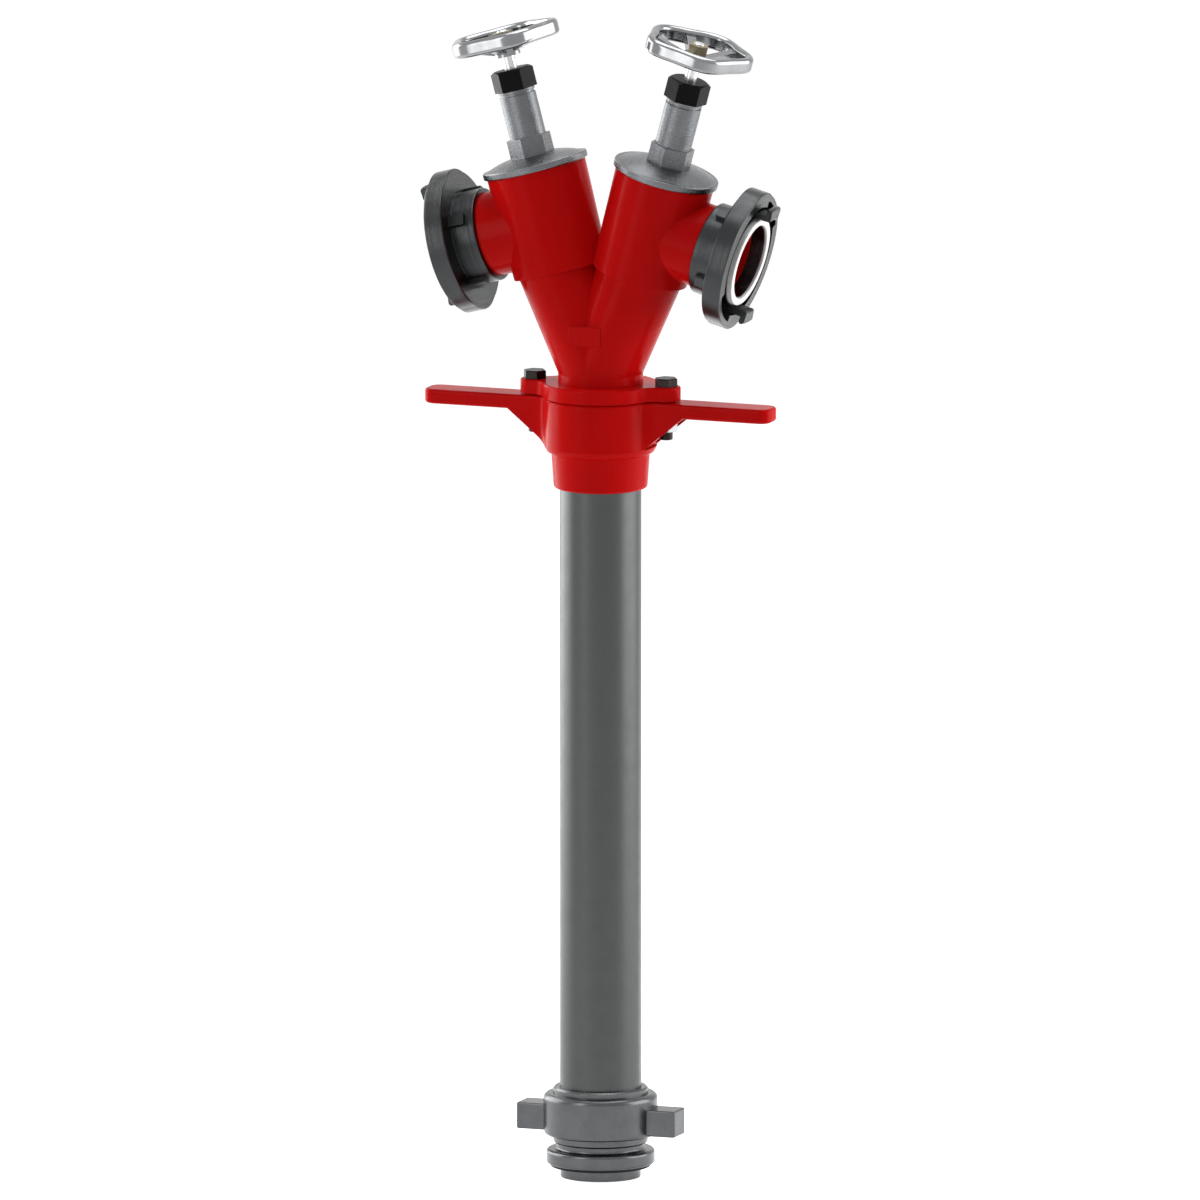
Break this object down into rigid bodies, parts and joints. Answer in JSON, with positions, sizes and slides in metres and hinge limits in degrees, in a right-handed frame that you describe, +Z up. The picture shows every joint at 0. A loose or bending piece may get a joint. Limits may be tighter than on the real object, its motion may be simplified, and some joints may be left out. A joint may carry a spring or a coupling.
{
  "type": "hydrant standpipe",
  "caption": "Hydrant standpipe: straight pipe with claw foot, handle collar, swivelling Y head, screw-down valves with handwheels and claw hose couplings.",
  "frame": {"origin": "centre of the lower end of the foot's spigot, on the pipe's axis", "axes": "+Z up the pipe; X along the handles, claws, valves and outlets; +Y away from the side seen in the picture"},
  "size_m": [0.3462, 0.129, 1.0755],
  "materials": {
    "red_paint": "gloss",
    "pipe_grey": "satin",
    "cast_aluminium": "cast",
    "dark_aluminium": "brushed",
    "polished_aluminium": "polished",
    "dark_steel": "satin",
    "zinc_steel": "zinc plated",
    "spring_steel": "bright",
    "spindle_steel": "turned",
    "brass": "turned",
    "black_paint": "satin",
    "black_rubber": "matte",
    "white_rubber": "matte",
    "packing_grey": "greased"
  },
  "bodies": {
    "pipe": {"standpipe_tube": "pipe_grey", "foot_piece": "cast_aluminium", "foot_seal": "black_rubber", "handle_collar": "red_paint", "clamp_flange": "red_paint", "flange_bolts": "dark_steel", "flange_nuts": "zinc_steel"},
    "claw_nut": {"claw_nut": "cast_aluminium"},
    "head": {"head_casting": "red_paint", "neck_ring": "spring_steel", "neck_seals": "black_rubber", "left_bonnet": "cast_aluminium", "left_bonnet_seal": "black_rubber", "left_packing": "packing_grey", "left_gland_nut": "black_paint", "left_coupling": "dark_aluminium", "left_gasket": "white_rubber", "right_bonnet": "cast_aluminium", "right_bonnet_seal": "black_rubber", "right_packing": "packing_grey", "right_gland_nut": "black_paint", "right_coupling": "dark_aluminium", "right_gasket": "white_rubber"},
    "left_valve": {"left_valve_disc": "brass", "left_disc_seal": "black_rubber", "left_disc_screw": "spring_steel"},
    "left_screw": {"left_spindle": "spindle_steel", "left_handwheel": "polished_aluminium", "left_wheel_nut": "brass"},
    "right_valve": {"right_valve_disc": "brass", "right_disc_seal": "black_rubber", "right_disc_screw": "spring_steel"},
    "right_screw": {"right_spindle": "spindle_steel", "right_handwheel": "polished_aluminium", "right_wheel_nut": "brass"}
  },
  "joints": [
    {"name": "head_swivel", "type": "hinge", "parent": "pipe", "child": "head", "pos_m": [0, 0, 0.71], "axis": [0, 0, 1], "continuous": true},
    {"name": "claw_nut_turn", "type": "hinge", "parent": "pipe", "child": "claw_nut", "pos_m": [0, 0, 0.0588], "axis": [0, 0, 1], "range_deg": [-630, 225]},
    {"name": "left_valve_lift", "type": "slide", "parent": "head", "child": "left_valve", "axis": [-0.2588, 0, 0.9659], "range_m": [0, 0.018]},
    {"name": "left_wheel_turn", "type": "hinge", "parent": "left_valve", "child": "left_screw", "pos_m": [-0.07765, 0, 0.98978], "axis": [-0.2588, 0, 0.9659], "range_deg": [0, 1080]},
    {"name": "right_valve_lift", "type": "slide", "parent": "head", "child": "right_valve", "axis": [0.2588, 0, 0.9659], "range_m": [0, 0.018]},
    {"name": "right_wheel_turn", "type": "hinge", "parent": "right_valve", "child": "right_screw", "pos_m": [0.07765, 0, 0.98978], "axis": [0.2588, 0, 0.9659], "range_deg": [0, 1080]}
  ],
  "couplings": [
    {"joint": "left_valve_lift", "follows": "left_wheel_turn", "m_per_rad": 0.0009549},
    {"joint": "right_valve_lift", "follows": "right_wheel_turn", "m_per_rad": 0.0009549}
  ]
}
